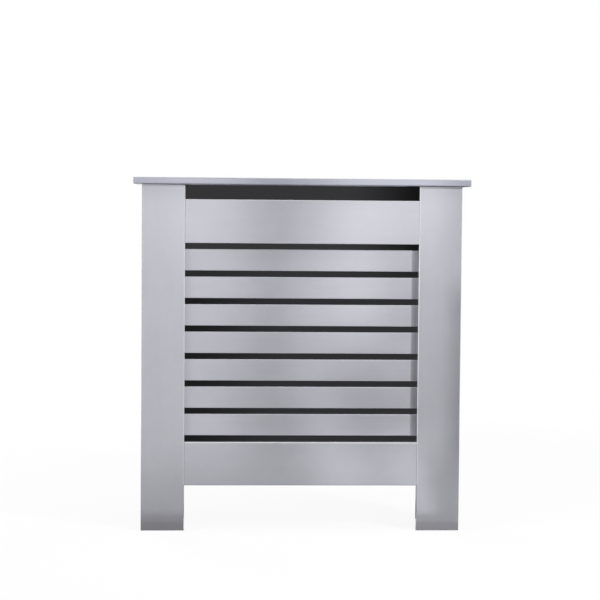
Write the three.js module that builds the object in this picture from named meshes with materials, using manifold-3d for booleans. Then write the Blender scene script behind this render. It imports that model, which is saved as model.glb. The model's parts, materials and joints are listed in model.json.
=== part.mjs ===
// A radiator cover cabinet: coated fibreboard, sold flat and put together with cams and dowels.
// It stands on the floor in front of a wall radiator, open at the back, with a slatted front.
//
// Millimetres. X runs along the wall, Y from the front to the wall, Z up. The origin is on the
// floor, under the middle of the shelf.

import * as THREE from "three";
import { ConvexGeometry } from "three/addons/geometries/ConvexGeometry.js";
import { mergeVertices } from "three/addons/utils/BufferGeometryUtils.js";
import Module from "manifold-3d";

const wasm = await Module();
wasm.setup();

// Overall sizes
const overallWidth = 780;
const overallDepth = 190;
const overallHeight = 820;
const sideOverhang = 19; // the shelf stands out this far past each side panel
const frontOverhang = 15; // and this far in front of the frame

// Boards
const shelfThickness = 16;
const sideThickness = 16;
const frameThickness = 16;
const battenThickness = 16;
const slatThickness = 9;
const jointGap = 0.2; // hairline left where one board butts against another

// Front frame
const stileWidth = 100;
const railHeight = 101;
const slotHeight = 34; // warm air leaves between the top rail and the shelf
const legHeight = 106; // cool air enters below the bottom rail
const slatCount = 7;
const slatGap = 14;
const slatLap = 30; // how far each slat runs on behind a stile

// Back
const battenHeight = 60;
const skirtingHeight = 120; // notch that lets the side panels stand over a skirting board
const skirtingDepth = 18;
const notchRadius = 6;
const wallHoleSpacing = 400;
const wallHoleDiameter = 5;
const wallHoleHead = 9.5;

// Eased edges
const shelfEase = 2.5;
const shelfCornerRadius = 3;
const frontEase = 2;
const slatEase = 1.5;
const rearEase = 0.6;

// Fittings
const fit = 0.25; // gap round a fitting in its hole
const holeRelief = 1; // a blind hole is deeper than what goes in by this much
const dowelDiameter = 8;
const dowelLength = 30;
const dowelFlute = 0.4;
const dowelFlutes = 10;
const dowelChamfer = 1;
const railDowelSpacing = 52;
const camDiameter = 15;
const camHeight = 12;
const camWall = 2;
const camPlate = 3;
const camChamfer = 0.5;
const camSetback = 34; // from a board's end to the middle of its cam
const camHoleRelief = 0.5;
const camTrackSlack = 0.5; // gap round the bolt's neck and head in the cam
const camDrive = { width: 1.4, length: 7, depth: 2 }; // cross for the screwdriver
const boltDepth = 8; // from the face the cam is let into to the middle of its bolt
const boltThreadDiameter = 6;
const boltThreadLength = 10;
const boltShankDiameter = 7;
const boltHoleSlack = 0.5; // the hole for the shank is drilled this much wider
const boltNeckDiameter = 4;
const boltNeckLength = 8;
const boltHeadDiameter = 6.5;
const boltHeadLength = 3.5;
const boltChamfer = 0.8;
const shelfCamInset = 40; // from the front and rear edges of a side panel
const stileCamInset = 160; // from the top and bottom of a side panel
const battenFixingSpacing = 28; // between the bolt and the dowel in the end of the batten
const battenDowelInset = 10; // how much of that dowel is in the side panel
const screwHeadDiameter = 7;
const screwDiameter = 3.5;
const screwLength = 20;
const screwPoint = 5;
const screwDrive = { width: 0.9, length: 3.8, depth: 1.3 };

// Faces round a small turned piece, a cam and a cam's hole
const fineSides = 12;
const camSides = 16;
const camHoleSides = 24;

// Heights, from the floor up
const shelfUnderside = overallHeight - shelfThickness;
const panelTop = shelfUnderside - jointGap;
const topRailTop = shelfUnderside - slotHeight;
const topRailBottom = topRailTop - railHeight;
const bottomRailTop = legHeight + railHeight;
const openingHeight = topRailBottom - bottomRailTop;
const slatHeight = (openingHeight - (slatCount + 1) * slatGap) / slatCount;
const slatPitch = slatHeight + slatGap;
const battenTop = shelfUnderside - jointGap;
const battenMiddle = battenTop - battenHeight / 2;

// Depths, from the front to the wall
const shelfFront = -overallDepth / 2;
const wallPlane = overallDepth / 2;
const frameFront = shelfFront + frontOverhang;
const frameBack = frameFront + frameThickness;
const frameMiddle = frameFront + frameThickness / 2;
const slatFront = frameBack + jointGap;
const slatBack = slatFront + slatThickness;
const sideFront = frameBack + jointGap;
const battenFront = wallPlane - battenThickness;

// Widths, from the middle out
const bodyHalf = overallWidth / 2 - sideOverhang;
const sideInner = bodyHalf - sideThickness;
const openingHalf = bodyHalf - stileWidth;
const railEnd = openingHalf - jointGap;
const slatEnd = openingHalf + slatLap;
const battenEnd = sideInner - jointGap;

const silverCoating = new THREE.MeshStandardMaterial({
  color: 0xb9b9c6,
  metalness: 0.7,
  roughness: 0.32,
});
const steel = new THREE.MeshStandardMaterial({ color: 0x9a9da1, metalness: 1, roughness: 0.35 });
const zinc = new THREE.MeshStandardMaterial({ color: 0x84878b, metalness: 1, roughness: 0.5 });
const beech = new THREE.MeshStandardMaterial({ color: 0xc79c69, metalness: 0, roughness: 0.7 });

const alongX = new THREE.Vector3(1, 0, 0);
const alongY = new THREE.Vector3(0, 1, 0);
const alongZ = new THREE.Vector3(0, 0, 1);

// Solids

function toSolid(geometry) {
  const bare = geometry.clone();
  bare.deleteAttribute("normal");
  bare.deleteAttribute("uv");
  const merged = mergeVertices(bare, 1e-4);
  const corners = merged.index.array;
  const kept = [];
  for (let i = 0; i < corners.length; i += 3) {
    const [a, b, c] = corners.slice(i, i + 3);
    if (a !== b && b !== c && c !== a) kept.push(a, b, c);
  }
  return new wasm.Manifold(
    new wasm.Mesh({
      numProp: 3,
      vertProperties: merged.attributes.position.array,
      triVerts: new Uint32Array(kept),
    }),
  );
}

function toGeometry(solid) {
  const mesh = solid.getMesh();
  const geometry = new THREE.BufferGeometry();
  geometry.setAttribute("position", new THREE.BufferAttribute(mesh.vertProperties, 3));
  geometry.setIndex(new THREE.BufferAttribute(mesh.triVerts, 1));
  geometry.computeVertexNormals();
  return geometry;
}

function cutFrom(geometry, cutters) {
  const solid = cutters.reduce((rest, cutter) => rest.subtract(toSolid(cutter)), toSolid(geometry));
  return toGeometry(solid);
}

// A rectangle round the origin, with its corners rounded to radii from the lower left, anticlockwise.
function roundedRectangle(width, height, radii) {
  const x = width / 2;
  const y = height / 2;
  const corners = [
    [-x, -y],
    [x, -y],
    [x, y],
    [-x, y],
  ];
  const shape = new THREE.Shape();
  corners.forEach(([cornerX, cornerY], i) => {
    const radius = radii[i];
    const start = Math.PI + (i * Math.PI) / 2;
    const centreX = cornerX - Math.sign(cornerX) * radius;
    const centreY = cornerY - Math.sign(cornerY) * radius;
    shape.absarc(centreX, centreY, radius, start, start + Math.PI / 2);
  });
  shape.closePath();
  return shape;
}

// A board standing on its end round the origin, with its front face eased all round by a quarter
// turn in two steps and its back face by a chamfer.
function uprightBoard(width, thickness, height) {
  const midway = frontEase * (1 - Math.SQRT1_2);
  const rings = [
    { inset: frontEase, depth: 0 },
    { inset: midway, depth: midway },
    { inset: 0, depth: frontEase },
    { inset: 0, depth: thickness - rearEase },
    { inset: rearEase, depth: thickness },
  ];
  const corners = [];
  for (const { inset, depth } of rings) {
    const x = width / 2 - inset;
    const y = depth - thickness / 2;
    const z = height / 2 - inset;
    for (const [right, up] of [[-1, -1], [1, -1], [1, 1], [-1, 1]]) {
      corners.push(new THREE.Vector3(right * x, y, up * z));
    }
  }
  return new ConvexGeometry(corners);
}

// A profile in Y and Z, carried along X and centred on the origin, with its ends eased by a flat
// chamfer.
function extrudeAlongX(shape, length, endEase = 0) {
  const geometry = new THREE.ExtrudeGeometry(shape, {
    depth: length - 2 * endEase,
    bevelEnabled: endEase > 0,
    bevelThickness: endEase,
    bevelSize: endEase,
    bevelOffset: -endEase,
    bevelSegments: 1,
    curveSegments: 2,
  });
  geometry.translate(0, 0, endEase - length / 2);
  return geometry.applyMatrix4(new THREE.Matrix4().makeBasis(alongY, alongZ, alongX));
}

// A solid turned about Y from pairs of radius and height that start and end on the axis.
function turned(profile, sides) {
  const points = profile.map(([radius, height]) => new THREE.Vector2(radius, height));
  return new THREE.LatheGeometry(points, sides);
}

// The two slots of a cross for a screwdriver, cut from y = 0 down.
function crossDrive({ width, length, depth }) {
  const height = 2 * depth;
  return [new THREE.BoxGeometry(width, height, length), new THREE.BoxGeometry(length, height, width)];
}

// Holes are cutters turned about Y, with the mouth at y = 0, that reach past the mouth by overcut.
const overcut = 2;

function blindHole(diameter, depth, sides = fineSides) {
  const radius = diameter / 2 + fit;
  return turned(
    [
      [0, -overcut],
      [radius, -overcut],
      [radius, depth],
      [0, depth],
    ],
    sides,
  );
}

function countersunkHole(diameter, headDiameter, depth) {
  const radius = diameter / 2 + fit;
  const headRadius = headDiameter / 2 + fit;
  return turned(
    [
      [0, -overcut],
      [headRadius, -overcut],
      [headRadius, 0],
      [radius, headRadius - radius],
      [radius, depth],
      [0, depth],
    ],
    fineSides,
  );
}

// A cutter stood at a point, pointing into the board.
function aimed(cutter, point, direction) {
  const turn = new THREE.Quaternion().setFromUnitVectors(alongY, direction);
  return cutter.clone().applyQuaternion(turn).translate(...point);
}

// Groups

const cabinet = new THREE.Group();
const carcass = new THREE.Group();
const frontFrame = new THREE.Group();
const knockDownFittings = new THREE.Group();
cabinet.add(carcass, frontFrame, knockDownFittings);

// Adds a board whose shape is centred on the origin and whose cutters are given in the cabinet's
// own axes, and stands it at its middle.
function addBoard(group, name, shape, middle, cutters = []) {
  const back = middle.map((value) => -value);
  const local = cutters.map((cutter) => cutter.clone().translate(...back));
  const board = new THREE.Mesh(cutFrom(shape, local), silverCoating);
  board.name = name;
  board.position.set(...middle);
  group.add(board);
}

// Adds a fitting modelled along +Y, turned to point in the given direction.
function addFitting(group, name, shape, material, point, direction) {
  const fitting = new THREE.Mesh(shape, material);
  fitting.name = name;
  fitting.position.set(...point);
  fitting.quaternion.setFromUnitVectors(alongY, direction);
  group.add(fitting);
}

const sides = [
  { name: "left", sign: -1 },
  { name: "right", sign: 1 },
];

// Dowels: beech pins with straight flutes for the glue and chamfered ends.

function flutedDowel() {
  const corners = 2 * dowelFlutes;
  const outline = [];
  for (let i = 0; i < corners; i++) {
    const radius = dowelDiameter / 2 - (i % 2 ? dowelFlute : 0);
    const angle = (i / corners) * 2 * Math.PI;
    outline.push(new THREE.Vector2(radius * Math.cos(angle), radius * Math.sin(angle)));
  }
  const geometry = new THREE.ExtrudeGeometry(new THREE.Shape(outline), {
    depth: dowelLength - 2 * dowelChamfer,
    bevelThickness: dowelChamfer,
    bevelSize: dowelChamfer,
    bevelOffset: -dowelChamfer,
    bevelSegments: 1,
  });
  return geometry.translate(0, 0, dowelChamfer - dowelLength / 2).rotateX(-Math.PI / 2);
}

const dowelShape = flutedDowel();

// Cam joints: a bolt screwed into one board runs into the end of the other, where a cam let into
// its face hooks behind the bolt's head and draws the joint tight.

// The bolt, with the joint's face at y = 0 and the cam's middle at y = camSetback.
function camBolt() {
  const headFront = camSetback - boltHeadLength / 2;
  const headBack = headFront + boltHeadLength;
  const neckStart = headFront - boltNeckLength;
  const thread = boltThreadDiameter / 2;
  const shank = boltShankDiameter / 2;
  const neck = boltNeckDiameter / 2;
  const head = boltHeadDiameter / 2;
  return turned(
    [
      [0, -boltThreadLength],
      [thread - boltChamfer, -boltThreadLength],
      [thread, boltChamfer - boltThreadLength],
      [thread, jointGap],
      [shank, jointGap],
      [shank, neckStart - boltChamfer],
      [neck, neckStart],
      [neck, headFront],
      [head, headFront + boltChamfer],
      [head - boltChamfer, headBack],
      [0, headBack],
    ],
    fineSides,
  );
}

// The cam: a cup whose face plate is at y = 0, with a track through its wall for the bolt's neck
// and a mouth for its head on the far side. The bolt lies along +Z at y = boltDepth.
function cam() {
  const radius = camDiameter / 2;
  const hollow = radius - camWall;
  const cup = turned(
    [
      [0, 0],
      [radius - camChamfer, 0],
      [radius, camChamfer],
      [radius, camHeight],
      [hollow, camHeight],
      [hollow, camPlate],
      [0, camPlate],
    ],
    camSides,
  );

  // Half a turn of the wall, from just past the neck to where the bolt goes in.
  const cutPast = camWall / 2;
  const trackWidth = boltNeckDiameter + 2 * camTrackSlack;
  const trackStart = -Math.PI / 2 - Math.asin(trackWidth / 2 / (hollow - camTrackSlack));
  const trackEnd = Math.PI / 2;
  const sector = new THREE.Shape();
  sector.absarc(0, 0, radius + cutPast, trackStart, trackEnd, false);
  sector.absarc(0, 0, hollow - cutPast, trackEnd, trackStart, true);
  sector.closePath();
  const track = new THREE.ExtrudeGeometry(sector, {
    depth: trackWidth,
    bevelEnabled: false,
    curveSegments: 4,
  });
  track.rotateX(-Math.PI / 2).translate(0, boltDepth - trackWidth / 2, 0);

  const mouthWidth = boltHeadDiameter + 2 * camTrackSlack;
  const mouthTop = boltDepth - mouthWidth / 2;
  const mouth = new THREE.BoxGeometry(mouthWidth, camHeight, radius);
  mouth.translate(0, mouthTop + camHeight / 2, -radius / 2 - cutPast);
  return cutFrom(cup, [track, mouth, ...crossDrive(camDrive)]);
}

const boltShape = camBolt();
const camShape = cam();
const threadHole = blindHole(boltThreadDiameter, boltThreadLength + holeRelief);
const boltHole = blindHole(boltShankDiameter + boltHoleSlack, camSetback);
const camHole = blindHole(camDiameter, camHeight + camHoleRelief, camHoleSides);

// Every cam joint: joint is the point where the bolt crosses from one board to the other, into
// points along the bolt, and faceNormal points out of the face that holds the cam.
const camJoints = [];
for (const { name, sign } of sides) {
  const faceNormal = new THREE.Vector3(-sign, 0, 0);
  const boltX = sign * (sideInner + boltDepth);
  const shelfJoints = { front: sideFront + shelfCamInset, rear: wallPlane - shelfCamInset };
  for (const [place, y] of Object.entries(shelfJoints)) {
    camJoints.push({
      name: `shelf_${name}_${place}`,
      holds: `${name}_side_panel`,
      into: new THREE.Vector3(0, 0, -1),
      joint: [boltX, y, shelfUnderside],
      threadIn: "top_shelf",
      faceNormal,
    });
  }
  const stileJoints = { upper: panelTop - stileCamInset, lower: stileCamInset };
  for (const [place, z] of Object.entries(stileJoints)) {
    camJoints.push({
      name: `stile_${name}_${place}`,
      holds: `${name}_side_panel`,
      into: new THREE.Vector3(0, 1, 0),
      joint: [boltX, frameBack, z],
      threadIn: `${name}_stile`,
      faceNormal,
    });
  }
  camJoints.push({
    name: `batten_${name}`,
    holds: "rear_batten",
    into: new THREE.Vector3(-sign, 0, 0),
    joint: [sign * sideInner, wallPlane - boltDepth, battenMiddle + battenFixingSpacing / 2],
    threadIn: `${name}_side_panel`,
    faceNormal: new THREE.Vector3(0, 1, 0),
  });
}

// The middle of a cam's face: along the bolt to the cam, then out to the face it is let into.
function camFace({ joint, into, faceNormal }) {
  return new THREE.Vector3(...joint)
    .addScaledVector(into, camSetback)
    .addScaledVector(faceNormal, boltDepth)
    .toArray();
}

// What the cam joints cut out of a board.
function camCuts(board) {
  const cuts = [];
  for (const camJoint of camJoints) {
    const { joint, into, faceNormal } = camJoint;
    if (camJoint.threadIn === board) {
      cuts.push(aimed(threadHole, joint, into.clone().negate()));
    }
    if (camJoint.holds === board) {
      cuts.push(aimed(boltHole, joint, into));
      cuts.push(aimed(camHole, camFace(camJoint), faceNormal.clone().negate()));
    }
  }
  return cuts;
}

for (const camJoint of camJoints) {
  const { name, joint, into, faceNormal } = camJoint;
  addFitting(knockDownFittings, `${name}_cam_bolt`, boltShape, steel, joint, into);
  const inward = faceNormal.clone().negate();
  const toBolt = into.clone().negate();
  const across = inward.clone().cross(toBolt);
  const placed = new THREE.Mesh(camShape, zinc);
  placed.name = `${name}_cam`;
  placed.position.set(...camFace(camJoint));
  placed.quaternion.setFromRotationMatrix(new THREE.Matrix4().makeBasis(across, inward, toBolt));
  knockDownFittings.add(placed);
}

// Dowel joints: joint is the point where the dowel crosses from the first board to the second,
// into points along the dowel into the second, and inset is how much of it is in the first.
const dowelJoints = [];
for (const { name, sign } of sides) {
  const into = new THREE.Vector3(-sign, 0, 0);
  const rails = { top_rail: topRailTop - railHeight / 2, bottom_rail: bottomRailTop - railHeight / 2 };
  for (const [rail, middle] of Object.entries(rails)) {
    for (const [place, side] of [["upper", 1], ["lower", -1]]) {
      dowelJoints.push({
        name: `${rail}_${name}_${place}`,
        first: `${name}_stile`,
        second: rail,
        joint: [sign * openingHalf, frameMiddle, middle + (side * railDowelSpacing) / 2],
        inset: dowelLength / 2,
        into,
      });
    }
  }
  dowelJoints.push({
    name: `batten_${name}`,
    first: `${name}_side_panel`,
    second: "rear_batten",
    joint: [sign * sideInner, wallPlane - boltDepth, battenMiddle - battenFixingSpacing / 2],
    inset: battenDowelInset,
    into,
  });
}

function dowelCuts(board) {
  const cuts = [];
  for (const { first, second, joint, into, inset } of dowelJoints) {
    if (first === board) {
      const hole = blindHole(dowelDiameter, inset + holeRelief);
      cuts.push(aimed(hole, joint, into.clone().negate()));
    }
    if (second === board) {
      const hole = blindHole(dowelDiameter, dowelLength - inset + holeRelief);
      cuts.push(aimed(hole, joint, into));
    }
  }
  return cuts;
}

for (const { name, joint, into, inset } of dowelJoints) {
  const middle = new THREE.Vector3(...joint).addScaledVector(into, dowelLength / 2 - inset);
  addFitting(knockDownFittings, `${name}_dowel`, dowelShape, beech, middle.toArray(), into);
}

// Top shelf: a plain board, eased all round.

function shelf() {
  const radii = Array(4).fill(shelfCornerRadius);
  const outline = roundedRectangle(overallWidth, overallDepth, radii);
  const geometry = new THREE.ExtrudeGeometry(outline, {
    depth: shelfThickness - 2 * shelfEase,
    bevelThickness: shelfEase,
    bevelSize: shelfEase,
    bevelOffset: -shelfEase,
    bevelSegments: 3,
    curveSegments: 2,
  });
  geometry.translate(0, 0, shelfEase - shelfThickness / 2);
  const middle = [0, 0, overallHeight - shelfThickness / 2];
  addBoard(carcass, "top_shelf", geometry, middle, camCuts("top_shelf"));
}

// Side panels: full height behind the stiles, notched at the back for the skirting board.

function sidePanel({ name, sign }) {
  const outline = new THREE.Shape();
  const notchFront = wallPlane - skirtingDepth;
  const notchCentre = [notchFront + notchRadius, skirtingHeight - notchRadius];
  outline.moveTo(sideFront, 0);
  outline.lineTo(notchFront, 0);
  outline.lineTo(notchFront, notchCentre[1]);
  outline.absarc(...notchCentre, notchRadius, Math.PI, Math.PI / 2, true);
  outline.lineTo(wallPlane, skirtingHeight);
  outline.lineTo(wallPlane, panelTop);
  outline.lineTo(sideFront, panelTop);
  outline.closePath();
  const geometry = extrudeAlongX(outline, sideThickness, rearEase);
  const middle = [sign * (sideInner + sideThickness / 2), (sideFront + wallPlane) / 2, panelTop / 2];
  geometry.translate(0, -middle[1], -middle[2]);
  const board = `${name}_side_panel`;
  addBoard(carcass, board, geometry, middle, [...camCuts(board), ...dowelCuts(board)]);
}

// Rear batten: stands on edge under the shelf against the wall, and takes the wall screws.

function rearBatten() {
  const radii = Array(4).fill(rearEase);
  const profile = roundedRectangle(battenThickness, battenHeight, radii);
  const wallHole = countersunkHole(wallHoleDiameter, wallHoleHead, battenThickness + overcut);
  const wallHoles = sides.map(({ sign }) => {
    return aimed(wallHole, [(sign * wallHoleSpacing) / 2, battenFront, battenMiddle], alongY);
  });
  addBoard(
    carcass,
    "rear_batten",
    extrudeAlongX(profile, 2 * battenEnd),
    [0, battenFront + battenThickness / 2, battenMiddle],
    [...camCuts("rear_batten"), ...dowelCuts("rear_batten"), ...wallHoles],
  );
}

// Slat screws: countersunk, driven from behind through the slat into the stile.

function slatScrew() {
  const head = screwHeadDiameter / 2;
  const shank = screwDiameter / 2;
  const screw = turned(
    [
      [0, 0],
      [head, 0],
      [shank, head - shank],
      [shank, screwLength - screwPoint],
      [0, screwLength],
    ],
    fineSides,
  );
  return cutFrom(screw, crossDrive(screwDrive));
}

const slatMiddles = [];
for (let i = 0; i < slatCount; i++) {
  slatMiddles.push(topRailBottom - slatGap - slatHeight / 2 - i * slatPitch);
}

function screwPoints(sign) {
  const x = sign * (openingHalf + slatLap / 2);
  return slatMiddles.map((z) => [x, slatBack, z]);
}

const towardsFront = new THREE.Vector3(0, -1, 0);
const screwHole = countersunkHole(screwDiameter, screwHeadDiameter, screwLength + holeRelief);

// Stiles: the two uprights of the front frame, which run on down as its legs.

function stile({ name, sign }) {
  const board = `${name}_stile`;
  const pilots = screwPoints(sign).map((point) => aimed(screwHole, point, towardsFront));
  addBoard(
    frontFrame,
    board,
    uprightBoard(stileWidth, frameThickness, panelTop),
    [sign * (openingHalf + stileWidth / 2), frameMiddle, panelTop / 2],
    [...camCuts(board), ...dowelCuts(board), ...pilots],
  );
}

// Rails: flush with the stiles, with square ends on dowels and eased long edges.

function rail(name, top) {
  const profile = roundedRectangle(frameThickness, railHeight, [frontEase, rearEase, rearEase, frontEase]);
  const geometry = extrudeAlongX(profile, 2 * railEnd);
  addBoard(frontFrame, name, geometry, [0, frameMiddle, top - railHeight / 2], dowelCuts(name));
}

// Slats: thinner boards across the back of the frame, lapped behind both stiles.

function slats() {
  const profile = roundedRectangle(slatThickness, slatHeight, [slatEase, rearEase, rearEase, slatEase]);
  const blank = extrudeAlongX(profile, 2 * slatEnd);
  const screw = slatScrew();
  slatMiddles.forEach((z, i) => {
    const name = `slat_${i + 1}`;
    const points = sides.map(({ sign }) => screwPoints(sign)[i]);
    const holes = points.map((point) => aimed(screwHole, point, towardsFront));
    addBoard(frontFrame, name, blank, [0, slatFront + slatThickness / 2, z], holes);
    sides.forEach((side, n) => {
      addFitting(frontFrame, `${name}_${side.name}_screw`, screw, steel, points[n], towardsFront);
    });
  });
}

shelf();
sides.forEach(sidePanel);
rearBatten();
sides.forEach(stile);
rail("top_rail", topRailTop);
rail("bottom_rail", bottomRailTop);
slats();

export default cabinet;
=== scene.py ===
# The looks of a silver radiator cover: its coating, fittings, light and camera.
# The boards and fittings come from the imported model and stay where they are.

import json
import math

import bpy
import numpy as np
from mathutils import Matrix, Vector


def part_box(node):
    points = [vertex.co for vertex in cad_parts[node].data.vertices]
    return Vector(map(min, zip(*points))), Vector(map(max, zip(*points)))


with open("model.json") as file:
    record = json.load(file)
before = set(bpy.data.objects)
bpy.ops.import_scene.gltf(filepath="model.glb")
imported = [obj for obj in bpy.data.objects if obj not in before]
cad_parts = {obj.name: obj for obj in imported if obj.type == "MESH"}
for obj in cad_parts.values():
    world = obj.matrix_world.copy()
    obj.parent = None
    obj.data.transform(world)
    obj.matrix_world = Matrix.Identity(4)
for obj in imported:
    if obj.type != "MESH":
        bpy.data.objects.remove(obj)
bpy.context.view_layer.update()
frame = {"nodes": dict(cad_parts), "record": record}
nodes = frame["nodes"]
slotOf = {part["node"]: part["material_slot"] for part in frame["record"]["subparts"]}
print("loaded", len(nodes), "nodes")


# Small helpers for node trees and objects

def grey(level):
    return (level, level, level, 1.0)


def emptyMaterial(name):
    material = bpy.data.materials.new(name)
    material.use_nodes = True
    material.node_tree.nodes.clear()
    return material, material.node_tree


def addNode(tree, kind, inputs=None, **settings):
    # an input that is a socket is linked, any other becomes the socket's own value
    node = tree.nodes.new(kind)
    for key, value in settings.items():
        setattr(node, key, value)
    for key, value in (inputs or {}).items():
        if isinstance(value, bpy.types.NodeSocket):
            tree.links.new(value, node.inputs[key])
        else:
            node.inputs[key].default_value = value
    return node


def addSurface(tree, shader):
    addNode(tree, "ShaderNodeOutputMaterial", {"Surface": shader.outputs[0]})


def addPrincipled(tree, inputs):
    addSurface(tree, addNode(tree, "ShaderNodeBsdfPrincipled", inputs))


def objectPlace(tree):
    return addNode(tree, "ShaderNodeTexCoord").outputs["Object"]


def splitVector(tree, vector):
    return addNode(tree, "ShaderNodeSeparateXYZ", {0: vector}).outputs[:3]


def mathNode(tree, operation, first, second=0.0, third=0.0, clamp=False):
    inputs = {0: first, 1: second, 2: third}
    return addNode(tree, "ShaderNodeMath", inputs, operation=operation, use_clamp=clamp).outputs[0]


def vectorNode(tree, operation, first, second):
    inputs = {0: first, 1: second}
    return addNode(tree, "ShaderNodeVectorMath", inputs, operation=operation).outputs[0]


def smoothStep(tree, value, low, high, start=0.0, end=1.0):
    return addNode(
        tree,
        "ShaderNodeMapRange",
        {"Value": value, "From Min": low, "From Max": high, "To Min": start, "To Max": end},
        interpolation_type="SMOOTHSTEP",
    ).outputs[0]


def mixColours(tree, share, first, second):
    inputs = {0: share, 6: first, 7: second}
    return addNode(tree, "ShaderNodeMix", inputs, data_type="RGBA").outputs[2]


def mixNumbers(tree, share, first, second):
    return addNode(tree, "ShaderNodeMix", {0: share, 2: first, 3: second}).outputs[0]


def addClamped(tree, first, second, level):
    # both values and the level, kept between 0 and 1
    return mathNode(tree, "ADD", mathNode(tree, "ADD", first, second), level, clamp=True)


def sumOfSquares(tree, first, second):
    return mathNode(tree, "MULTIPLY_ADD", first, first, mathNode(tree, "POWER", second, 2.0))


def linkObject(name, mesh):
    piece = bpy.data.objects.new(name, mesh)
    bpy.context.scene.collection.objects.link(piece)
    return piece


def hideFrom(piece, *rays):
    for ray in rays:
        setattr(piece, "visible_" + ray, False)


def gridMesh(name, x, y, z):
    # x, y and z are grids of one size, or single numbers; four neighbours make a face
    points = np.stack(np.broadcast_arrays(x, y, z), axis=-1)
    rows, columns = points.shape[:2]
    index = np.arange(rows * columns).reshape(rows, columns)
    faces = np.stack([index[:-1, :-1], index[:-1, 1:], index[1:, 1:], index[1:, :-1]], axis=-1)
    mesh = bpy.data.meshes.new(name)
    mesh.from_pydata(points.reshape(-1, 3).tolist(), [], faces.reshape(-1, 4).tolist())
    return mesh


# Camera, at the photograph's place and turn

cameraSettings = {
    "place": (-0.191, -4.008, 0.743),  # m
    "turn": 2.715,  # degrees to the right of straight on
    "tilt": 2.973,  # degrees down
    "roll": 0.473,  # degrees
    "lens": 102.0,  # mm
    "sensor": 36.0,  # mm
    "farEnd": 100.0,  # m
}


def makeCamera():
    s = cameraSettings
    turn, tilt, roll = (math.radians(s[key]) for key in ("turn", "tilt", "roll"))
    ahead = Vector(
        (math.sin(turn) * math.cos(tilt), math.cos(turn) * math.cos(tilt), -math.sin(tilt))
    )
    right = ahead.cross(Vector((0, 0, 1))).normalized()
    up = right.cross(ahead)
    rolledRight = right * math.cos(roll) + up * math.sin(roll)
    rolledUp = up * math.cos(roll) - right * math.sin(roll)
    data = bpy.data.cameras.new("camera")
    data.sensor_width = s["sensor"]
    data.lens = s["lens"]
    data.clip_end = s["farEnd"]
    camera = linkObject("camera", data)
    axes = Matrix((rolledRight, rolledUp, -ahead)).transposed()
    camera.matrix_world = Matrix.Translation(s["place"]) @ axes.to_4x4()
    bpy.context.scene.camera = camera


makeCamera()
print("camera")


# Shared effects, as node groups

groupSettings = {
    "cloudRoughness": 0.55,
    "leanRange": (0.999, 0.95),  # largest part of a face's direction, from flat to leaning
    "wearRange": (0.3, 0.7),  # noise, from no wear to full wear
    "wearDetail": 3.0,
    "facingRange": (0.6, 0.95),  # part of the direction to the wall or up, from none to full
    "reliefDetail": 1.0,
}
floatSocket, vectorSocket = "NodeSocketFloat", "NodeSocketVector"


def newGroup(name, inputs, outputs):
    group = bpy.data.node_groups.new(name, "ShaderNodeTree")
    for socket, kind, value in inputs:
        made = group.interface.new_socket(socket, in_out="INPUT", socket_type=kind)
        if value is not None:
            made.default_value = value
    for socket, kind in outputs:
        group.interface.new_socket(socket, in_out="OUTPUT", socket_type=kind)
    return group, group.nodes.new("NodeGroupInput").outputs, group.nodes.new("NodeGroupOutput")


def placeGroup(tree, group, inputs):
    return addNode(tree, "ShaderNodeGroup", inputs, node_tree=group).outputs


def scaleOf(group, size):
    # a texture's scale is one over its cell size
    return mathNode(group, "DIVIDE", 1.0, size)


def makeCloudGroup():
    # Value wanders about 0: noise with cells of Size metres, times Amount
    group, given, result = newGroup(
        "clouds",
        [("Vector", vectorSocket, None), ("Size", floatSocket, 0.05),
         ("Detail", floatSocket, 2.0), ("Amount", floatSocket, 1.0)],
        [("Value", floatSocket)],
    )
    noise = addNode(
        group, "ShaderNodeTexNoise",
        {"Vector": given["Vector"], "Scale": scaleOf(group, given["Size"]),
         "Detail": given["Detail"], "Roughness": groupSettings["cloudRoughness"]},
    ).outputs["Fac"]
    centred = mathNode(group, "SUBTRACT", noise, 0.5)
    value = mathNode(group, "MULTIPLY", centred, given["Amount"])
    group.links.new(value, result.inputs["Value"])
    return group


def makeEdgeGroup():
    # Lean is 1 on faces that lean between the main directions, as an eased edge does,
    # Mask is the same in uneven spots, and Back and Top are 1 on faces that look to the
    # wall and up
    s = groupSettings
    group, given, result = newGroup(
        "edges",
        [("Vector", vectorSocket, None), ("Wear Size", floatSocket, 0.01)],
        [("Mask", floatSocket), ("Lean", floatSocket), ("Back", floatSocket), ("Top", floatSocket)],
    )
    parts = splitVector(group, group.nodes.new("ShaderNodeNewGeometry").outputs["True Normal"])
    sizes = [mathNode(group, "ABSOLUTE", part) for part in parts]
    largest = mathNode(group, "MAXIMUM", mathNode(group, "MAXIMUM", sizes[0], sizes[1]), sizes[2])
    leaning = smoothStep(group, largest, *s["leanRange"])
    noise = addNode(
        group, "ShaderNodeTexNoise",
        {"Vector": given["Vector"], "Scale": scaleOf(group, given["Wear Size"]),
         "Detail": s["wearDetail"]},
    ).outputs["Fac"]
    worn = mathNode(group, "MULTIPLY", leaning, smoothStep(group, noise, *s["wearRange"]))
    group.links.new(worn, result.inputs["Mask"])
    group.links.new(leaning, result.inputs["Lean"])
    group.links.new(smoothStep(group, parts[1], *s["facingRange"]), result.inputs["Back"])
    group.links.new(smoothStep(group, parts[2], *s["facingRange"]), result.inputs["Top"])
    return group


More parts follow.
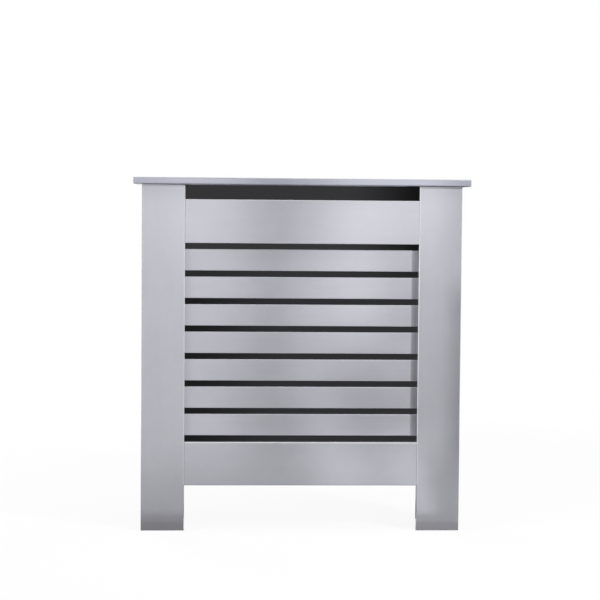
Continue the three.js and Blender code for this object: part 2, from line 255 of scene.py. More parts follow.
def makeReliefGroup():
    # Normal leans with three heights: long waves of the board, orange peel and metal flake
    group, given, result = newGroup(
        "relief",
        [("Vector", vectorSocket, None), ("Wave Size", floatSocket, 0.16),
         ("Wave Height", floatSocket, 0.0002), ("Peel Size", floatSocket, 0.005),
         ("Peel Height", floatSocket, 0.000004), ("Flake Size", floatSocket, 0.0004),
         ("Flake Height", floatSocket, 0.0000005)],
        [("Normal", vectorSocket), ("Flake", floatSocket)],
    )
    below = {}
    for kind in ("Wave", "Peel", "Flake"):
        texture = {"Vector": given["Vector"], "Scale": scaleOf(group, given[kind + " Size"])}
        if kind == "Flake":
            cells = addNode(group, "ShaderNodeTexVoronoi", texture).outputs
            height = cells["Distance"]
        else:
            texture["Detail"] = groupSettings["reliefDetail"]
            height = addNode(group, "ShaderNodeTexNoise", texture).outputs["Fac"]
        bump = {"Height": height, "Distance": given[kind + " Height"], "Strength": 1.0, **below}
        below = {"Normal": addNode(group, "ShaderNodeBump", bump).outputs[0]}
    group.links.new(below["Normal"], result.inputs["Normal"])
    shade = splitVector(group, cells["Color"])[0]
    group.links.new(mathNode(group, "SUBTRACT", shade, 0.5), result.inputs["Flake"])
    return group


clouds = makeCloudGroup()
edges = makeEdgeGroup()
relief = makeReliefGroup()
print("node groups")


def cloudValue(tree, place, size, detail, amount):
    given = {"Vector": place, "Size": size, "Detail": detail, "Amount": amount}
    return placeGroup(tree, clouds, given)["Value"]


def reliefOutputs(tree, place, kinds):
    # kinds: the cell size and the height of each kind of relief, in m
    given = {"Vector": place}
    for kind, (size, height) in kinds.items():
        given[kind + " Size"], given[kind + " Height"] = size, height
    return placeGroup(tree, relief, given)


# Silver coating. One build for upright boards and one for boards that lie across.
# Here and in the fittings below, clouds are (cell size in m, detail, amount)

coatingSettings = {
    "dark": (0.535, 0.532, 0.588, 1.0),
    "light": (0.690, 0.687, 0.760, 1.0),
    "broad": (0.22, 2.0, 0.55),  # the three clouds that move the tone from dark to light
    "fine": (0.03, 3.0, 0.28),
    "streaks": (0.012, 2.0, 0.22),
    "flake": 0.12,  # how far a flake moves the tone
    "tone": 0.5,  # the tone without clouds
    "drawnOut": 0.08,  # streaks and scuffs run along the board: lengths count by this share
    "relief": {"Wave": (0.17, 0.00016), "Peel": (0.006, 0.0000025), "Flake": (0.0005, 0.0000004)},
    # each slat, and each rail, takes its film from another part of the roll
    "slatStart": 0.214,  # m
    "slatPitch": 0.064,  # m
    "rowRange": (-1.0, 7.0),  # the bottom rail's row and the top rail's
    "rowShift": 1.37,  # m along the roll for each row
    "worn": (0.72, 0.72, 0.77, 1.0),
    "wornShare": 0.5,
    "wearSize": 0.012,  # m
    # painted highlight: the film is lighter over the frame's eased edges round its openings,
    # standing for the light those edges catch
    "paintedEdgeHighlight": (0.93, 0.93, 0.97, 1.0),
    "frameSide": 0.276,  # m from the middle: those edges lie inside this,
    "frameDepth": -0.07,  # in front of this,
    "frameHigh": 0.803,  # below this
    "frameLow": 0.1075,  # and above this
    "shelfEdgeColour": (0.43, 0.45, 0.54, 1.0),
    "darkerShelfEdge": 0.62,  # how far the shelf's edges go to that darker colour
    "shelfEdgeAbove": 0.8035,  # m
    "dust": (0.66, 0.65, 0.62, 1.0),
    "dustClouds": (0.05, 4.0, 0.35),
    "dustLevel": 0.12,
    "dustMetal": -0.3,  # how far dust changes the metal share
    "corner": (0.2, 0.2, 0.21, 1.0),
    "cornerShadeShare": 0.2,  # painted shade: the slats darken by this share towards their ends,
    "cornerShadeReach": (0.252, 0.272),  # between these distances from the middle, in m
    "cornerShadeDepth": -0.066,  # m: the slats lie behind this
    "scuff": (0.36, 0.35, 0.36, 1.0),
    "footShade": 0.32,  # painted shade: the feet go this far to the scuffs' colour,
    "footShadeReach": (0.026, 0.015),  # from the one height down to the other, in m
    "scuffClouds": (0.004, 3.0, 1.6),
    "scuffLevel": 0.25,
    "scuffShare": 0.5,
    "scuffReach": (0.014, 0.0),  # m: scuffs begin below the first height
    "metal": 0.4,
    "roughness": 0.13,
    "rougher": {"back": 0.16, "dust": 0.5, "worn": 0.08, "fine": 0.12, "scuff": 0.2},
    "coat": 0.4,
    "coatRoughness": 0.04,
}


def rowPlace(tree, place, height):
    # the row is the height over the first slat, counted in pitches
    s = coatingSettings
    first, last = s["rowRange"]
    above = mathNode(tree, "SUBTRACT", height, s["slatStart"])
    row = mathNode(tree, "FLOOR", mathNode(tree, "DIVIDE", above, s["slatPitch"]))
    row = mathNode(tree, "MAXIMUM", mathNode(tree, "MINIMUM", row, last), first)
    shift = mathNode(tree, "MULTIPLY", row, s["rowShift"])
    shift = addNode(tree, "ShaderNodeCombineXYZ", {0: shift}).outputs[0]
    return vectorNode(tree, "ADD", place, shift)


def keepWhere(tree, mask, tests):
    # the mask, times 1 where every test holds and 0 elsewhere
    for value, operation, limit in tests:
        mask = mathNode(tree, "MULTIPLY", mask, mathNode(tree, operation, value, limit))
    return mask


def makeCoating(name, across):
    s = coatingSettings
    material, tree = emptyMaterial(name)
    place = objectPlace(tree)
    side, depth, height = splitVector(tree, place)
    fromMiddle = mathNode(tree, "ABSOLUTE", side)
    if across:
        place = rowPlace(tree, place, height)
    drawnOut = (s["drawnOut"], 1.0, 1.0) if across else (1.0, 1.0, s["drawnOut"])
    along = vectorNode(tree, "MULTIPLY", place, drawnOut)
    bumps = reliefOutputs(tree, place, s["relief"])
    found = placeGroup(tree, edges, {"Vector": place, "Wear Size": s["wearSize"]})
    worn, edge, back, top = (found[key] for key in ("Mask", "Lean", "Back", "Top"))

    broad = cloudValue(tree, place, *s["broad"])
    fine = cloudValue(tree, place, *s["fine"])
    streaks = cloudValue(tree, along, *s["streaks"])
    tone = mathNode(tree, "ADD", mathNode(tree, "ADD", broad, fine), streaks)
    tone = mathNode(tree, "MULTIPLY_ADD", bumps["Flake"], s["flake"], tone)
    tone = mathNode(tree, "ADD", tone, s["tone"], clamp=True)
    colour = mixColours(tree, tone, s["dark"], s["light"])
    wornShare = mathNode(tree, "MULTIPLY", worn, s["wornShare"])
    colour = mixColours(tree, wornShare, colour, s["worn"])
    # painted highlight: lighter eased edges round the frame's openings
    paintedEdgeHighlight = keepWhere(tree, edge, (
        (fromMiddle, "LESS_THAN", s["frameSide"]),
        (depth, "LESS_THAN", s["frameDepth"]),
        (height, "LESS_THAN", s["frameHigh"]),
        (height, "GREATER_THAN", s["frameLow"]),
    ))
    colour = mixColours(tree, paintedEdgeHighlight, colour, s["paintedEdgeHighlight"])

    if across:
        # the shelf's edges, not its top, go to a darker colour
        notTop = mathNode(tree, "SUBTRACT", 1.0, top)
        darkerShelfEdge = keepWhere(tree, notTop, ((height, "GREATER_THAN", s["shelfEdgeAbove"]),))
        darkerShelfEdge = mathNode(tree, "MULTIPLY", darkerShelfEdge, s["darkerShelfEdge"])
        colour = mixColours(tree, darkerShelfEdge, colour, s["shelfEdgeColour"])
    dust = cloudValue(tree, place, *s["dustClouds"])
    dust = mathNode(tree, "ADD", dust, s["dustLevel"], clamp=True)
    dust = mathNode(tree, "MULTIPLY", top, dust)
    colour = mixColours(tree, dust, colour, s["dust"])
    if across:
        # painted shade: the slats darken towards their ends, where the stiles' inner edges shade
        # them
        corner = smoothStep(tree, fromMiddle, *s["cornerShadeReach"], end=s["cornerShadeShare"])
        corner = keepWhere(tree, corner, (
            (depth, "GREATER_THAN", s["cornerShadeDepth"]),
            (height, "LESS_THAN", s["frameHigh"]),
        ))
        colour = mixColours(tree, corner, colour, s["corner"])
    # painted shade: the feet darken towards the floor, to the scuffs' colour
    footShade = mathNode(tree, "MULTIPLY", smoothStep(tree, height, *s["footShadeReach"]), s["footShade"])
    colour = mixColours(tree, footShade, colour, s["scuff"])
    scuff = cloudValue(tree, along, *s["scuffClouds"])
    scuff = mathNode(tree, "ADD", scuff, s["scuffLevel"], clamp=True)
    scuff = mathNode(tree, "MULTIPLY", smoothStep(tree, height, *s["scuffReach"]), scuff)
    scuffShare = mathNode(tree, "MULTIPLY", scuff, s["scuffShare"])
    colour = mixColours(tree, scuffShare, colour, s["scuff"])

    # the roughness, plus each effect times its own amount
    dull = s["roughness"]
    effects = {"back": back, "dust": dust, "worn": worn, "fine": fine, "scuff": scuff}
    for key, amount in s["rougher"].items():
        dull = mathNode(tree, "MULTIPLY_ADD", effects[key], amount, dull)
    metal = mathNode(tree, "MULTIPLY_ADD", dust, s["dustMetal"], s["metal"])
    addPrincipled(tree, {
        "Base Color": colour, "Metallic": metal, "Roughness": dull, "Normal": bumps["Normal"],
        "Coat Weight": s["coat"], "Coat Roughness": s["coatRoughness"],
    })
    return material


# Raw fibreboard, seen inside the bores

coreSettings = {
    "dark": (0.20, 0.125, 0.07, 1.0),
    "light": (0.40, 0.28, 0.175, 1.0),
    "fibres": (0.0012, 4.0, 1.6),
    "patches": (0.008, 2.0, 0.7),
    "tone": 0.5,
    "relief": {"Wave": (0.004, 0.0001), "Peel": (0.0008, 0.00008), "Flake": (0.0005, 0.00003)},
    "roughness": 0.85,
}


def makeCore():
    s = coreSettings
    material, tree = emptyMaterial("boardCore")
    place = objectPlace(tree)
    fibres = cloudValue(tree, place, *s["fibres"])
    patches = cloudValue(tree, place, *s["patches"])
    tone = addClamped(tree, fibres, patches, s["tone"])
    addPrincipled(tree, {
        "Base Color": mixColours(tree, tone, s["dark"], s["light"]),
        "Roughness": s["roughness"],
        "Normal": reliefOutputs(tree, place, s["relief"])["Normal"],
    })
    return material


# Fittings: zinc-plated steel with marks round its axis, cast zinc, and beech

steelSettings = {
    "dark": (0.47, 0.48, 0.50, 1.0),
    "light": (0.72, 0.73, 0.74, 1.0),
    "stain": (0.62, 0.58, 0.47, 1.0),
    "stainShare": 0.8,
    "turned": 0.02,  # marks run round: lengths across the axis count by this share
    "marks": (0.0004, 2.0, 0.9),
    "patches": (0.003, 3.0, 0.9),
    "tone": 0.55,
    "relief": {"Wave": (0.002, 0.00001), "Peel": (0.0003, 0.000006), "Flake": (0.0004, 0.000001)},
    "roughness": 0.28,
    "rougher": 0.25,  # times the patches
}


def makeSteel(axis):
    s = steelSettings
    material, tree = emptyMaterial("platedSteel" + "XYZ"[axis])
    place = objectPlace(tree)
    lengths = tuple(1.0 if i == axis else s["turned"] for i in range(3))
    turned = vectorNode(tree, "MULTIPLY", place, lengths)
    marks = cloudValue(tree, turned, *s["marks"])
    patches = cloudValue(tree, place, *s["patches"])
    tone = addClamped(tree, marks, patches, s["tone"])
    colour = mixColours(tree, tone, s["dark"], s["light"])
    stain = mathNode(tree, "MULTIPLY", patches, s["stainShare"], clamp=True)
    addPrincipled(tree, {
        "Base Color": mixColours(tree, stain, colour, s["stain"]),
        "Metallic": 1.0,
        "Roughness": mathNode(tree, "MULTIPLY_ADD", patches, s["rougher"], s["roughness"]),
        "Normal": reliefOutputs(tree, turned, s["relief"])["Normal"],
    })
    return material


zincSettings = {
    "dark": (0.30, 0.31, 0.33, 1.0),
    "light": (0.60, 0.61, 0.63, 1.0),
    "flow": (0.005, 4.0, 1.2),
    "pits": (0.0007, 2.0, 0.8),
    "tone": 0.5,
    "wearSize": 0.002,  # m
    "wear": 0.2,  # how far worn edges are lighter
    "relief": {"Wave": (0.004, 0.00005), "Peel": (0.0007, 0.00003), "Flake": (0.0004, 0.000004)},
    "roughness": 0.46,
    "rougher": 0.3,  # times the flow
}


def makeZinc():
    s = zincSettings
    material, tree = emptyMaterial("castZinc")
    place = objectPlace(tree)
    flow = cloudValue(tree, place, *s["flow"])
    pits = cloudValue(tree, place, *s["pits"])
    worn = placeGroup(tree, edges, {"Vector": place, "Wear Size": s["wearSize"]})["Mask"]
    tone = addClamped(tree, flow, pits, s["tone"])
    tone = mathNode(tree, "MULTIPLY_ADD", worn, s["wear"], tone, clamp=True)
    addPrincipled(tree, {
        "Base Color": mixColours(tree, tone, s["dark"], s["light"]),
        "Metallic": 1.0,
        "Roughness": mathNode(tree, "MULTIPLY_ADD", flow, s["rougher"], s["roughness"]),
        "Normal": reliefOutputs(tree, place, s["relief"])["Normal"],
    })
    return material


beechSettings = {
    "dark": (0.42, 0.25, 0.125, 1.0),
    "light": (0.70, 0.50, 0.31, 1.0),
    # every dowel lies along X, and so do its grain and its flecks
    "grainLength": (0.06, 1.0, 1.0),
    "grain": (0.0009, 3.0, 1.2),
    "tone": 0.55,
    "fleckLength": (0.3, 1.0, 1.0),
    "flecks": (0.0006, 1.0, 1.4),
    "fleckRange": (0.22, 0.3),
    "fleckShare": 0.5,
    "relief": {"Wave": (0.003, 0.00003), "Peel": (0.0006, 0.00003), "Flake": (0.0005, 0.000005)},
    "roughness": 0.62,
}


def makeBeech():
    s = beechSettings
    material, tree = emptyMaterial("rawBeech")
    place = objectPlace(tree)
    grainPlace = vectorNode(tree, "MULTIPLY", place, s["grainLength"])
    fleckPlace = vectorNode(tree, "MULTIPLY", place, s["fleckLength"])
    grain = cloudValue(tree, grainPlace, *s["grain"])
    tone = mathNode(tree, "ADD", grain, s["tone"], clamp=True)
    flecks = smoothStep(tree, cloudValue(tree, fleckPlace, *s["flecks"]), *s["fleckRange"])
    flecks = mathNode(tree, "MULTIPLY", flecks, s["fleckShare"])
    colour = mixColours(tree, tone, s["dark"], s["light"])
    addPrincipled(tree, {
        "Base Color": mixColours(tree, flecks, colour, s["dark"]),
        "Roughness": s["roughness"],
        "Normal": reliefOutputs(tree, grainPlace, s["relief"])["Normal"],
    })
    return material


# Each board's own finish, smooth eased edges, and raw board inside its bores

boardSettings = {
    "boreDepth": 0.0016,  # m: a face whose middle is deeper than this in the board is in a bore
    "notchBack": 0.076,  # m: the skirting notch is coated too, behind this
    "notchTop": 0.121,  # m: and below this
    "mergeDistance": 0.00002,  # m
    "splitAngle": 36.0,  # degrees
    "faceWeight": 100,
    # the axis that a steel fitting lies along, by its name's first word; the others lie along Y
    "steelAxis": {"shelf": 2, "batten": 0},
    "otherAxis": 1,
}


def markBores(node):
    s = boardSettings
    faces = node.data.polygons
    middles = np.empty(len(faces) * 3)
    faces.foreach_get("center", middles)
    middles = middles.reshape(-1, 3)
    low, high = (np.array(corner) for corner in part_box(node.name))
    inside = np.minimum(middles - low, high - middles).min(axis=1) > s["boreDepth"]
    notch = (middles[:, 1] > s["notchBack"]) & (middles[:, 2] < s["notchTop"])
    faces.foreach_set("material_index", (inside & ~notch).astype(np.int32))


def smoothEdges(node):
    s = boardSettings
    node.data.polygons.foreach_set("use_smooth", np.ones(len(node.data.polygons), bool))
    weld = node.modifiers.new("weld", "WELD")
    weld.merge_threshold = s["mergeDistance"]
    split = node.modifiers.new("split", "EDGE_SPLIT")
    split.split_angle = math.radians(s["splitAngle"])
    weighted = node.modifiers.new("weighted", "WEIGHTED_NORMAL")
    weighted.weight = s["faceWeight"]


def finishNodes():
    s = boardSettings
    upright = makeCoating("silverUpright", across=False)
    across = makeCoating("silverAcross", across=True)
    core = makeCore()
    steel = [makeSteel(axis) for axis in range(3)]
    plain = {"zinc": makeZinc(), "beech": makeBeech()}
    for name, node in nodes.items():
        slot = slotOf[name]
        if slot == "silver_coating":
            standing = name.endswith(("stile", "side_panel"))
            finishes = [upright if standing else across, core]
        elif slot == "steel":
            finishes = [steel[s["steelAxis"].get(name.split("_")[0], s["otherAxis"])]]
        else:
            finishes = [plain[slot]]
        node.data.materials.clear()
        for finish in finishes:
            node.data.materials.append(finish)
        if slot == "silver_coating":
            markBores(node)
        else:
            first = np.zeros(len(node.data.polygons), np.int32)
            node.data.polygons.foreach_set("material_index", first)
        smoothEdges(node)


finishNodes()
print("finishes")


# Stage: a white floor and room, and painted shade behind the slats: a dark card for the shaded
# space inside

stageSettings = {
    "floorHalf": 20.0,  # m
    "floorPale": 0.85,
    "floorBounce": 0.25,  # how pale it is to the light that it throws back up
    "floorOwnLight": 0.9,  # share of the floor's white that no shadow takes away
    "shadowReach": (0.9, 2.4),  # m from the middle, where the shadow's share fades out
    "roomLight": 0.1,  # the room's light on the object, of what the camera sees
    "inside": {"x": 0.3545, "y": -0.046, "low": 0.11, "high": 0.8035},  # m
    # painted shade: two shades across the top of the dark space, from left to right, and two across
    # the rest
    "insideTop": ((0.036, 0.036, 0.038, 1.0), (0.0055, 0.0055, 0.006, 1.0)),
    "insideTopChange": (0.09, 0.30),  # m across, where the one turns into the other
    "insideRest": ((0.011, 0.011, 0.012, 1.0), (0.028, 0.028, 0.031, 1.0)),
    "insideRestChange": (-0.28, -0.02),  # m across
    "insideHeight": (0.52, 0.68),  # m, from the rest to the top
}


def rayMask(tree):
    seen = addNode(tree, "ShaderNodeLightPath").outputs
    mask = mathNode(tree, "MAXIMUM", seen["Is Camera Ray"], seen["Is Glossy Ray"])
    return mathNode(tree, "MAXIMUM", mask, seen["Is Transmission Ray"])


def makeFloor():
    # white of its own to the camera and to reflections, plus a share that takes the shadow
    s = stageSettings
    material, tree = emptyMaterial("floorWhite")
    away = addNode(tree, "ShaderNodeVectorMath", {0: objectPlace(tree)}, operation="LENGTH")
    away = away.outputs["Value"]
    own = smoothStep(tree, away, *s["shadowReach"], start=s["floorOwnLight"])
    white = addNode(tree, "ShaderNodeEmission", {"Color": grey(1.0), "Strength": 1.0})
    bounce = addNode(tree, "ShaderNodeLightPath").outputs["Is Diffuse Ray"]
    tint = mixColours(tree, bounce, grey(s["floorPale"]), grey(s["floorBounce"]))
    pale = addNode(tree, "ShaderNodeBsdfDiffuse", {"Color": tint})
    share = mathNode(tree, "MULTIPLY", rayMask(tree), own)
    shaders = {0: share, 1: pale.outputs[0], 2: white.outputs[0]}
    addSurface(tree, addNode(tree, "ShaderNodeMixShader", shaders))
    ends = (-s["floorHalf"], s["floorHalf"])
    x, y = np.meshgrid(ends, ends)
    mesh = gridMesh("floor", x, y, 0.0)
    mesh.materials.append(material)
    linkObject("floor", mesh)


def makeRoom():
    world = bpy.data.worlds.new("room")
    world.use_nodes = True
    bpy.context.scene.world = world
    tree = world.node_tree
    tree.nodes.clear()
    dim = stageSettings["roomLight"]
    strength = mathNode(tree, "MULTIPLY_ADD", rayMask(tree), 1.0 - dim, dim)
    back = addNode(tree, "ShaderNodeBackground", {"Color": grey(1.0), "Strength": strength})
    addNode(tree, "ShaderNodeOutputWorld", {"Surface": back.outputs[0]})


def makePaintedInsideShade():
    # a card of painted shade: seen from the front only, by the camera and in reflections; it takes
    # no light from anything
    s = stageSettings
    material, tree = emptyMaterial("paintedInsideShade")
    path = addNode(tree, "ShaderNodeLightPath").outputs
    seen = mathNode(tree, "MAXIMUM", path["Is Camera Ray"], path["Is Glossy Ray"])
    rear = addNode(tree, "ShaderNodeNewGeometry").outputs["Backfacing"]
    shown = mathNode(tree, "MULTIPLY", seen, mathNode(tree, "SUBTRACT", 1.0, rear))
    parts = splitVector(tree, objectPlace(tree))
    rest, top = (
        mixColours(tree, smoothStep(tree, parts[0], *s[key + "Change"]), *s[key])
        for key in ("insideRest", "insideTop")
    )
    shade = mixColours(tree, smoothStep(tree, parts[2], *s["insideHeight"]), rest, top)
    clear = addNode(tree, "ShaderNodeBsdfTransparent")
    dark = addNode(tree, "ShaderNodeEmission", {"Color": shade, "Strength": 1.0})
    shaders = {0: shown, 1: clear.outputs[0], 2: dark.outputs[0]}
    addSurface(tree, addNode(tree, "ShaderNodeMixShader", shaders))
    box = s["inside"]
    x, z = np.meshgrid((-box["x"], box["x"]), (box["low"], box["high"]))
    mesh = gridMesh("paintedInsideShade", x, box["y"], z)
    mesh.materials.append(material)
    card = linkObject("paintedInsideShade", mesh)
    hideFrom(card, "diffuse", "shadow")


makeFloor()
makeRoom()
makePaintedInsideShade()
print("stage")


# What the coating mirrors: a round studio wall, a floor and a ceiling, seen only in reflections

tentSettings = {
    "radius": 3.2,  # m
    "low": -0.4,  # m, the wall's lower edge
    "high": 2.6,  # m, its upper edge
    "gridAround": 145,
    "gridSteps": 9,
    "colour": (1.0, 1.0, 1.0, 1.0),
    "levelTop": 2.0,  # the highest level that a ramp can hold
    "spread": 90.0,  # degrees each way before the wall's pattern turns back
    # the wall's level at each angle, in degrees to the right of straight ahead, by height in m
    "angles": (-90, -45, -16, -9, -5, -2.5, 0.5, 3.5, 7, 10.5, 12.3, 14, 21, 32, 60, 90),
    "rows": {
        0.85: (1.00, 1.30, 0.94, 0.94, 1.32, 0.98, 0.13, 0.58,
               1.28, 1.02, 1.45, 0.10, 0.10, 0.70, 1.40, 1.00),
        0.35: (1.00, 1.37, 0.91, 0.78, 0.90, 0.77, 0.11, 0.72,
               1.08, 0.15, 0.60, 0.02, 0.08, 0.70, 1.40, 1.00),
        0.0: (1.00, 1.34, 0.75, 0.69, 0.84, 0.49, 0.08, 0.61,
              0.05, 0.44, 0.53, 0.02, 0.08, 0.70, 1.40, 1.00),
    },
    "ceiling": 0.9,
    "dimAbove": (1.0, 1.7),  # m: the wall fades to this share of its level between these heights
    "dimShare": 0.35,
    # uneven light low on the right: its clouds, and where it fades in, in m
    "haze": {"clouds": (0.16, 3.0, 1.5), "right": (0.3, 0.6), "top": (0.75, 0.3)},
    # a dark patch far out on the floor: middle and half size in m, and how much it takes away
    "patch": {"x": (0.5, 0.2), "y": (-2.6, 0.6), "depth": 0.8},
    "foot": {"x": 0.371, "front": -0.08, "back": 0.095},  # m, the cover on the floor
    # the floor's level by distance from the foot, in m, and across
    "floorAway": {0.0: 0.02, 0.1: 0.02, 0.17: 0.04, 0.28: 0.57, 0.55: 0.64, 1.1: 0.90, 2.0: 0.90},
    "floorAcross": {
        -0.45: 0.65, -0.2: 0.63, 0.0: 0.41, 0.14: 1.0, 0.22: 0.72, 0.3: 1.05, 0.36: 0.0,
    },
    "fan": 0.2546,  # how fast the mirrored lines on the floor spread, per m
    "floorMeetsWall": (0.7, 2.0),  # m away, where the wall's lowest row takes over
    "ringInner": (0.36, 0.07),  # m, half sizes of the ring's inner rectangle
    "ringHeight": 0.0004,  # m
    "smallest": 1e-6,  # keeps a division from meeting 0
}


def rampNode(tree, value, stops):
    # stops: (place from 0 to 1, level), with each level kept as a share of the highest
    top = tentSettings["levelTop"]
    node = addNode(tree, "ShaderNodeValToRGB", {0: value})
    ramp = node.color_ramp
    ramp.interpolation = "EASE"
    while len(ramp.elements) < len(stops):
        ramp.elements.new(0.5)
    places, levels = zip(*stops)
    for element, place in zip(ramp.elements, places):
        element.position = place
    for element, level in zip(ramp.elements, levels):
        element.color = grey(level / top)
    return mathNode(tree, "MULTIPLY", node.outputs["Color"], top)


def glossyOnly(name, mesh, material, tree, level):
    glow = addNode(tree, "ShaderNodeEmission", {"Color": tentSettings["colour"], "Strength": level})
    addSurface(tree, glow)
    mesh.materials.append(material)
    card = linkObject(name, mesh)
    hideFrom(card, "camera", "diffuse", "shadow", "transmission", "volume_scatter")


def wallRow(tree, degrees, height):
    # the wall's level at an angle, at one of its heights; the pattern turns back at its ends
    s = tentSettings
    width = 2 * s["spread"]
    folded = mathNode(tree, "PINGPONG", mathNode(tree, "ADD", degrees, s["spread"]), width)
    stops = [
        ((angle + s["spread"]) / width, level)
        for angle, level in zip(s["angles"], s["rows"][height])
    ]
    return rampNode(tree, mathNode(tree, "DIVIDE", folded, width), stops)


def addHaze(tree, place, x, z, level):
    haze = tentSettings["haze"]
    uneven = cloudValue(tree, place, *haze["clouds"])
    right = smoothStep(tree, x, *haze["right"])
    share = mathNode(tree, "MULTIPLY", right, smoothStep(tree, z, *haze["top"]))
    return mathNode(tree, "MAXIMUM", mathNode(tree, "MULTIPLY_ADD", uneven, share, level), 0.0)


def ringGrid(start, end):
    # angles right round, and steps from the one value to the other
    s = tentSettings
    around = np.linspace(-math.pi, math.pi, s["gridAround"])
    return np.meshgrid(around, np.linspace(start, end, s["gridSteps"]))


def makeTentWall():
    # a cylinder: angle runs right round, height from low to high
    s = tentSettings
    material, tree = emptyMaterial("tentWall")
    place = objectPlace(tree)
    x, y, z = splitVector(tree, place)
    turn = mathNode(tree, "ARCTAN2", x, mathNode(tree, "MULTIPLY", y, -1.0))
    turn = mathNode(tree, "DEGREES", turn)
    rows = sorted(s["rows"])
    level = wallRow(tree, turn, rows[0])
    for lower, upper in zip(rows, rows[1:]):
        share = smoothStep(tree, z, lower, upper)
        level = mixNumbers(tree, share, level, wallRow(tree, turn, upper))
    level = addHaze(tree, place, x, z, level)
    dim = smoothStep(tree, z, *s["dimAbove"], start=1.0, end=s["dimShare"])
    level = mathNode(tree, "MULTIPLY", level, dim)
    angles, heights = ringGrid(s["low"], s["high"])
    mesh = gridMesh(
        "tentWall", s["radius"] * np.sin(angles), -s["radius"] * np.cos(angles), heights
    )
    glossyOnly("tentWall", mesh, material, tree, level)


def footDistance(tree, x, y, before):
    # the root of the squares of how far a place lies beside the foot and how far beyond it
    foot = tentSettings["foot"]
    beside = mathNode(tree, "SUBTRACT", mathNode(tree, "ABSOLUTE", x), foot["x"])
    beside = mathNode(tree, "MAXIMUM", beside, 0.0)
    behind = mathNode(tree, "SUBTRACT", y, foot["back"])
    beyond = mathNode(tree, "MAXIMUM", mathNode(tree, "MAXIMUM", before, behind), 0.0)
    return mathNode(tree, "SQRT", sumOfSquares(tree, beside, beyond))


def patchLevel(tree, x, y):
    # squared distance from the patch's middle, counted in half sizes
    patch = tentSettings["patch"]
    offsets = []
    for value, (middle, half) in ((x, patch["x"]), (y, patch["y"])):
        offset = mathNode(tree, "SUBTRACT", value, middle)
        offsets.append(mathNode(tree, "DIVIDE", offset, half))
    return smoothStep(tree, sumOfSquares(tree, *offsets), 0.0, 1.0, start=1 - patch["depth"])


def makeTentFloor():
    # a ring: from the cover's foot, a rectangle, out to the wall, a circle
    s = tentSettings
    material, tree = emptyMaterial("tentFloor")
    place = objectPlace(tree)
    x, y, z = splitVector(tree, place)
    before = mathNode(tree, "SUBTRACT", s["foot"]["front"], y)
    away = footDistance(tree, x, y, before)
    # stops lie by the root of the distance, because the floor changes most near the cover
    root = mathNode(tree, "SQRT", mathNode(tree, "DIVIDE", away, s["radius"]))
    stops = [(math.sqrt(key / s["radius"]), value) for key, value in s["floorAway"].items()]
    level = rampNode(tree, root, stops)
    # straight lines that fan out from behind the cover, as the mirrored view does
    widening = mathNode(tree, "MULTIPLY_ADD", mathNode(tree, "MAXIMUM", before, 0.0), s["fan"], 1.0)
    line = mathNode(tree, "DIVIDE", x, widening)
    halved = mathNode(tree, "MULTIPLY_ADD", line, 0.5, 0.5)
    stops = [((key + 1) / 2, value) for key, value in s["floorAcross"].items()]
    level = mathNode(tree, "MULTIPLY", level, rampNode(tree, halved, stops))
    # where a line meets the wall: its place times its widening there, over the radius
    degrees = math.degrees((1 + s["fan"] * s["radius"]) / s["radius"])
    row = wallRow(tree, mathNode(tree, "MULTIPLY", line, degrees), min(s["rows"]))
    level = mixNumbers(tree, smoothStep(tree, away, *s["floorMeetsWall"]), level, row)
    level = mathNode(tree, "MULTIPLY", level, patchLevel(tree, x, y))
    level = addHaze(tree, place, x, z, level)
    angles, shares = ringGrid(0, 1)
    dx, dy = np.sin(angles), -np.cos(angles)
    # along each angle, the nearer of the rectangle's two sides
    inner = np.minimum(
        *(half / np.maximum(np.abs(part), s["smallest"])
          for half, part in zip(s["ringInner"], (dx, dy)))
    )
    reach = inner + (s["radius"] - inner) * shares
    mesh = gridMesh("tentFloor", reach * dx, reach * dy, s["ringHeight"])
    glossyOnly("tentFloor", mesh, material, tree, level)


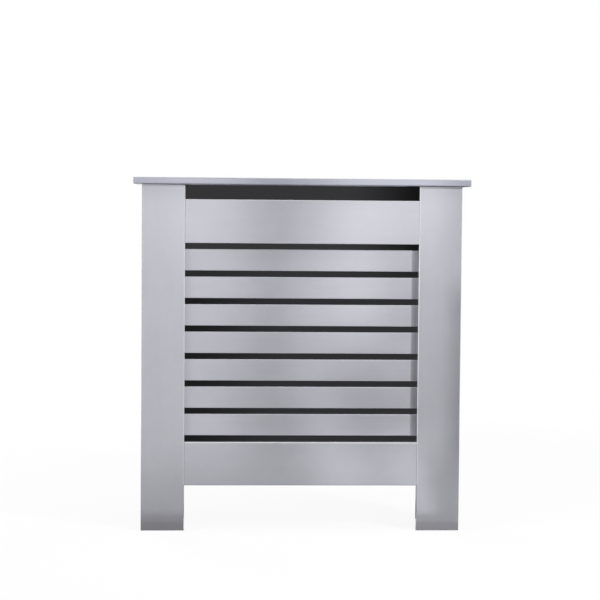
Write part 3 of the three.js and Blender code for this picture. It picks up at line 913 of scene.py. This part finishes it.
def makeTentCeiling():
    # a flat lid on the wall
    s = tentSettings
    material, tree = emptyMaterial("tentCeiling")
    ends = (-s["radius"], s["radius"])
    x, y = np.meshgrid(ends, ends)
    mesh = gridMesh("tentCeiling", x, y, s["high"])
    glossyOnly("tentCeiling", mesh, material, tree, s["ceiling"])


makeTentWall()
makeTentFloor()
makeTentCeiling()
print("reflections")


# Lamps: a narrow key from the right, and soft ones above, beside and behind

lampSettings = {
    # name: (place, what it points at, m wide, m high, W)
    "keyRight": ((1.66, -1.52, 1.4), (0.2, 0, 0.5), 0.14, 0.2, 40),
    "broadRight": ((1.756, -2.582, 0.9), (0.1, 0, 0.42), 0.5, 0.9, 16),
    "broadLeft": ((-2.02, -2.2, 0.9), (0.1, 0, 0.42), 0.4, 0.9, 3.2),
    "topLeft": ((-1.6, -0.8, 2.2), (0, 0, 0.42), 0.8, 0.8, 13),
    "topOver": ((0, -0.5, 2.4), (0, 0, 0.42), 0.8, 0.8, 12),
    "sideLeft": ((-2.51, 0.59, 1.3), (0, 0, 0.42), 1.0, 1.2, 22),
    "sideRight": ((2.51, 0.59, 1.3), (0, 0, 0.42), 1.0, 1.2, 16),
    "rearLeft": ((-1.4, 2.34, 1.5), (0, 0, 0.42), 1.0, 1.0, 34),
}


def makeLamp(name, place, target, width, height, power):
    data = bpy.data.lights.new(name, "AREA")
    data.shape = "RECTANGLE"
    data.size, data.size_y = width, height
    data.energy = power
    lamp = linkObject(name, data)
    away = Vector(place) - Vector(target)
    turned = away.to_track_quat("Z", "Y").to_matrix().to_4x4()
    lamp.matrix_world = Matrix.Translation(place) @ turned
    hideFrom(lamp, "camera", "glossy")


for name, setting in lampSettings.items():
    makeLamp(name, *setting)


# A narrow flag keeps part of the key light off the right stile's outer edge

flagSettings = {"x": (0.7125, 0.740), "y": -0.469, "z": (0.495, 0.794)}  # m


def makeFlag():
    s = flagSettings
    x, z = np.meshgrid(s["x"], s["z"])
    flag = linkObject("flag", gridMesh("flag", x, s["y"], z))
    hideFrom(flag, "camera", "diffuse", "glossy", "transmission", "volume_scatter")


makeFlag()
print("light")

bpy.context.scene.view_settings.view_transform = "Standard"
